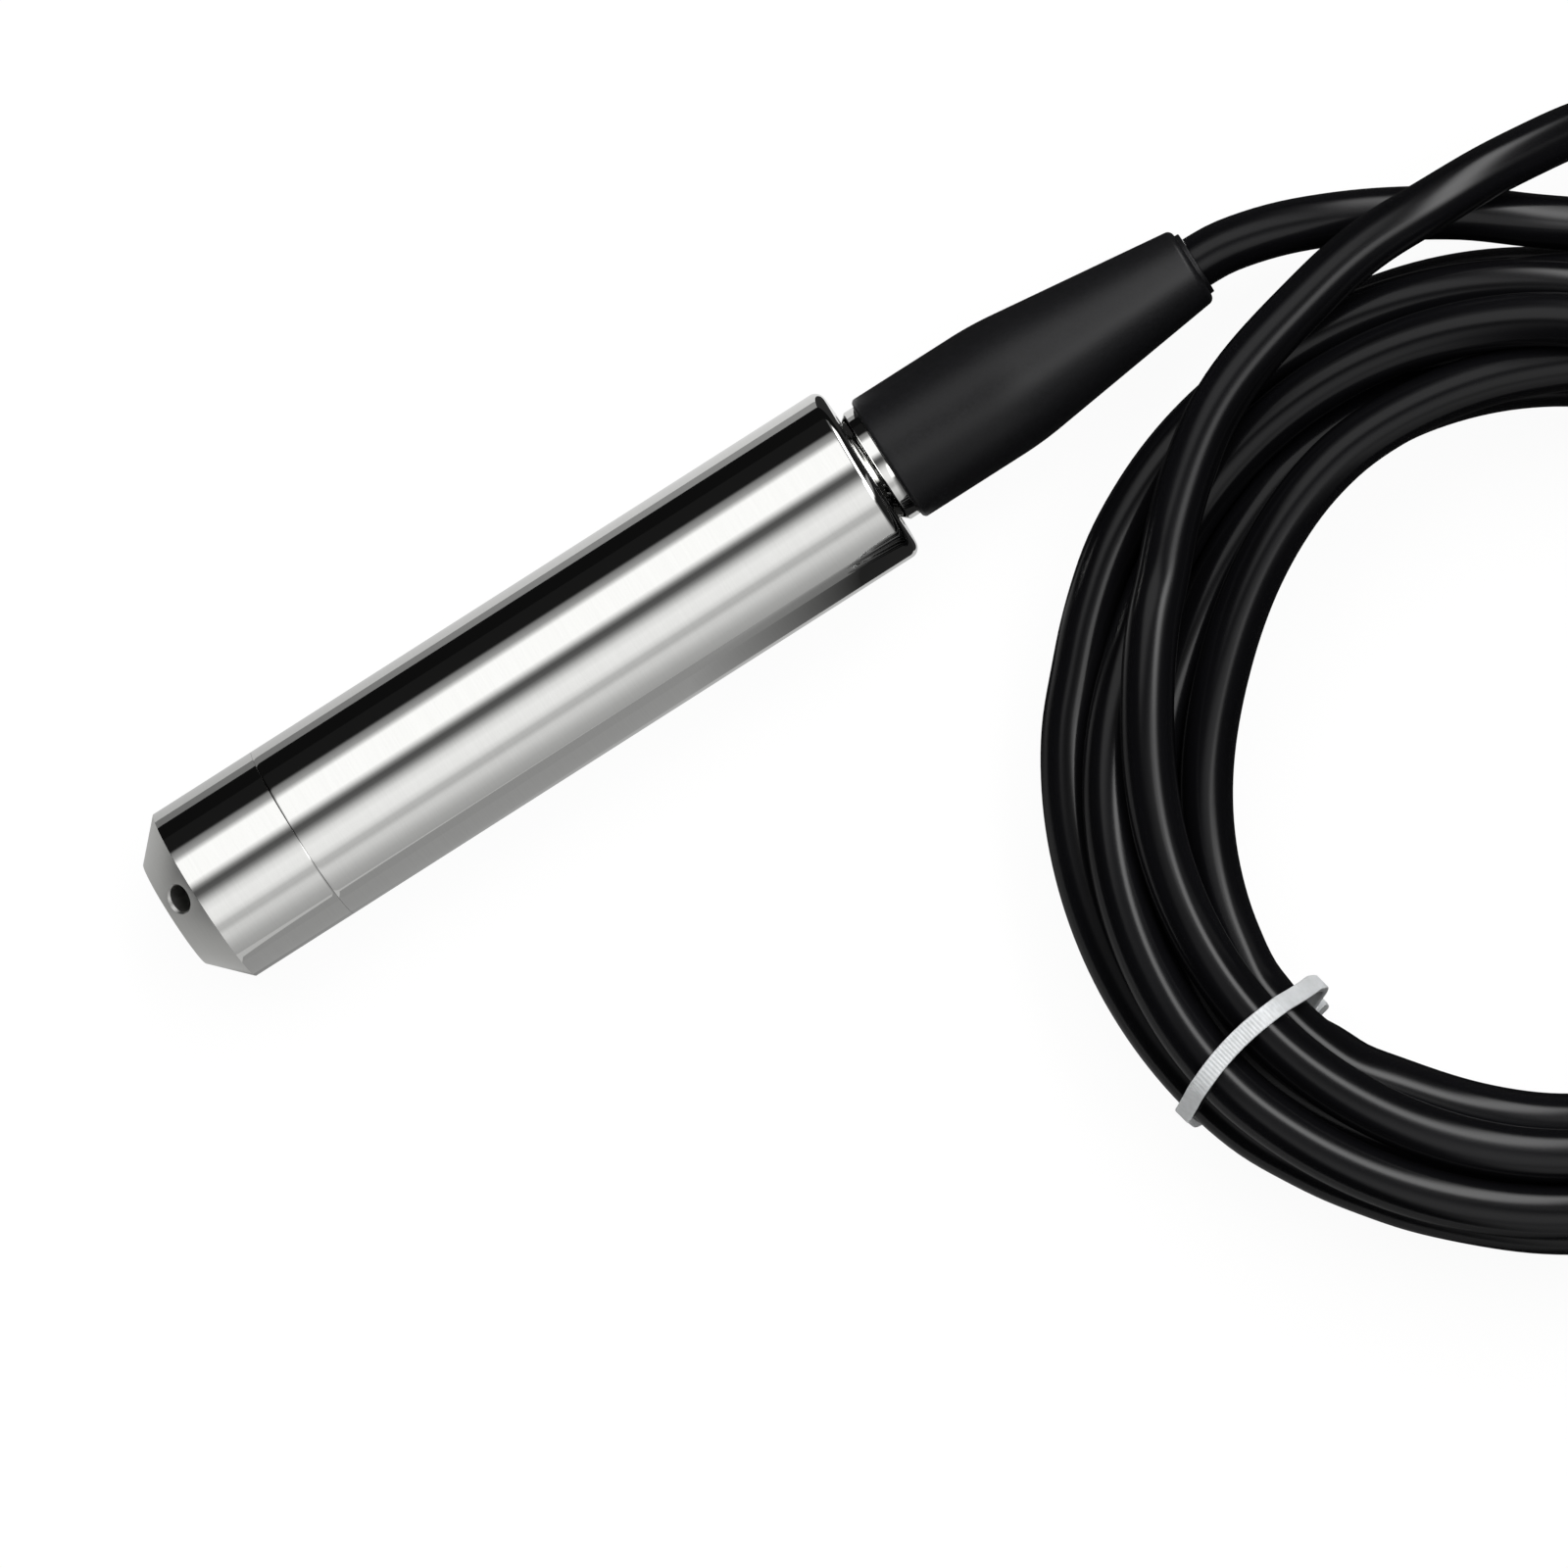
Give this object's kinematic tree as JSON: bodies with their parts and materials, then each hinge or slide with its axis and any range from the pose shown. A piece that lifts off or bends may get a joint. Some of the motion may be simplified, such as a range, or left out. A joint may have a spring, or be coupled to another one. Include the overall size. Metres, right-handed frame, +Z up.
{
  "type": "submersible level transmitter",
  "caption": "Stainless submersible pressure probe with a ported cone nose, a tapered rubber boot and a tied coil of vented cable with bare end leads.",
  "frame": {"origin": "on the surface that the probe lies on, under the middle of the probe from its nose face to the end of its boot", "axes": "+X along the probe from its nose to its cable end, +Z up, the coil of cable on the -Y side"},
  "size_m": [0.2585, 0.1669, 0.0273],
  "materials": {
    "tube_steel": "mirror-polished stainless steel",
    "nose_steel": "fine-turned stainless steel",
    "brass": "turned brass",
    "boot_rubber": "satin moulded rubber",
    "seal_rubber": "plain nitrile rubber",
    "cable_sheath": "smooth polyurethane sheath",
    "natural_nylon": "natural ribbed nylon",
    "white_plastic": "moulded white plastic",
    "board_green": "lacquered glass-fibre board",
    "component_black": "moulded epoxy",
    "component_blue": "moulded plastic",
    "core_red": "smooth core insulation",
    "core_black": "smooth core insulation"
  },
  "bodies": {
    "root": {"nose_cap": "nose_steel", "housing_tube": "tube_steel", "rear_fitting": "tube_steel", "pressure_cell": "nose_steel", "diaphragm": "tube_steel", "cell_seal_ring": "seal_rubber", "cell_retaining_ring": "brass", "cell_pin_1": "brass", "cell_pin_2": "brass", "cell_pin_3": "brass", "cell_pin_4": "brass", "cell_filling_tube": "brass", "circuit_board": "board_green", "board_holder_front": "white_plastic", "board_holder_rear": "white_plastic", "sensor_socket": "component_black", "wire_terminal": "board_green", "amplifier_chip": "component_black", "regulator_chip": "component_black", "zero_trimmer": "component_blue", "span_trimmer": "component_blue", "filter_capacitor": "core_red", "surge_arrester": "white_plastic", "rear_seal_ring_front": "seal_rubber", "rear_seal_ring_back": "seal_rubber", "fitting_lock_ring": "brass", "cable_grommet": "seal_rubber", "grommet_pusher": "brass", "gland_nut": "brass", "cable_boot": "boot_rubber", "cable_inner_run": "cable_sheath", "inner_red_core": "core_red", "inner_black_core": "core_black", "inner_vent_capillary": "white_plastic", "cable_lead": "cable_sheath", "cable_coil": "cable_sheath", "cable_tail": "cable_sheath", "cable_tie": "natural_nylon", "tail_end_sleeve": "boot_rubber", "tail_red_core": "core_red", "tail_black_core": "core_black", "tail_vent_capillary": "white_plastic"}
  },
  "joints": []
}
